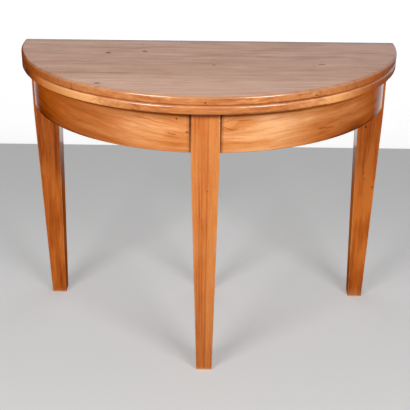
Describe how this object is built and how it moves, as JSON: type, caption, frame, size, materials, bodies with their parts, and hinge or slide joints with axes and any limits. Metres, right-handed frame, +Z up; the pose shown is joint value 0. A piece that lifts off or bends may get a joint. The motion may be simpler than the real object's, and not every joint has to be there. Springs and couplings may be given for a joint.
{
  "type": "demilune table",
  "caption": "Half-round fold-over table on tapered square legs, with a hinged half-moon leaf that opens to a full circle and a pull-out rear leg that carries it.",
  "frame": {"origin": "on the floor, under the middle of the closed table's box", "axes": "+Z up, -Y towards the curved front, +Y towards the straight hinged back edge, +X to the right seen from the front"},
  "size_m": [1, 0.504, 0.75],
  "materials": {
    "top_wood": "polished honey-coloured fruitwood",
    "frame_wood": "polished honey-coloured fruitwood",
    "inner_wood": "bare planed wood, unpolished",
    "hinge_brass": "aged brass",
    "screw_steel": "dull wood screws"
  },
  "bodies": {
    "frame": {"fixed_leaf_back_board": "top_wood", "fixed_leaf_middle_board": "top_wood", "fixed_leaf_front_board": "top_wood", "front_leg": "frame_wood", "left_rear_leg": "frame_wood", "right_rear_leg": "frame_wood", "left_apron": "frame_wood", "right_apron": "frame_wood", "back_rail": "inner_wood", "left_runner": "inner_wood", "right_runner": "inner_wood", "left_guide": "inner_wood", "right_guide": "inner_wood", "runner_screws": "screw_steel", "apron_glue_blocks": "inner_wood", "rail_glue_blocks": "inner_wood", "left_hinge_fixed_plate": "hinge_brass", "centre_hinge_fixed_plate": "hinge_brass", "right_hinge_fixed_plate": "hinge_brass", "left_hinge_pin": "hinge_brass", "centre_hinge_pin": "hinge_brass", "right_hinge_pin": "hinge_brass", "hinge_fixed_screws": "hinge_brass"},
    "folding_leaf": {"folding_leaf_back_board": "top_wood", "folding_leaf_middle_board": "top_wood", "folding_leaf_front_board": "top_wood", "left_hinge_moving_plate": "hinge_brass", "centre_hinge_moving_plate": "hinge_brass", "right_hinge_moving_plate": "hinge_brass", "hinge_moving_screws": "hinge_brass"},
    "pull_out_frame": {"pull_out_leg": "frame_wood", "pull_out_rail": "frame_wood", "left_slide_bar": "inner_wood", "right_slide_bar": "inner_wood", "slide_cross_bar": "inner_wood", "pull_out_leg_screws": "screw_steel"}
  },
  "joints": [
    {"name": "leaf_fold", "type": "hinge", "parent": "frame", "child": "folding_leaf", "pos_m": [0, 0.2485, 0.7284], "axis": [-1, 0, 0], "range_deg": [0, 180]},
    {"name": "leg_slide", "type": "slide", "parent": "frame", "child": "pull_out_frame", "axis": [0, 1, 0], "range_m": [0, 0.26]}
  ]
}
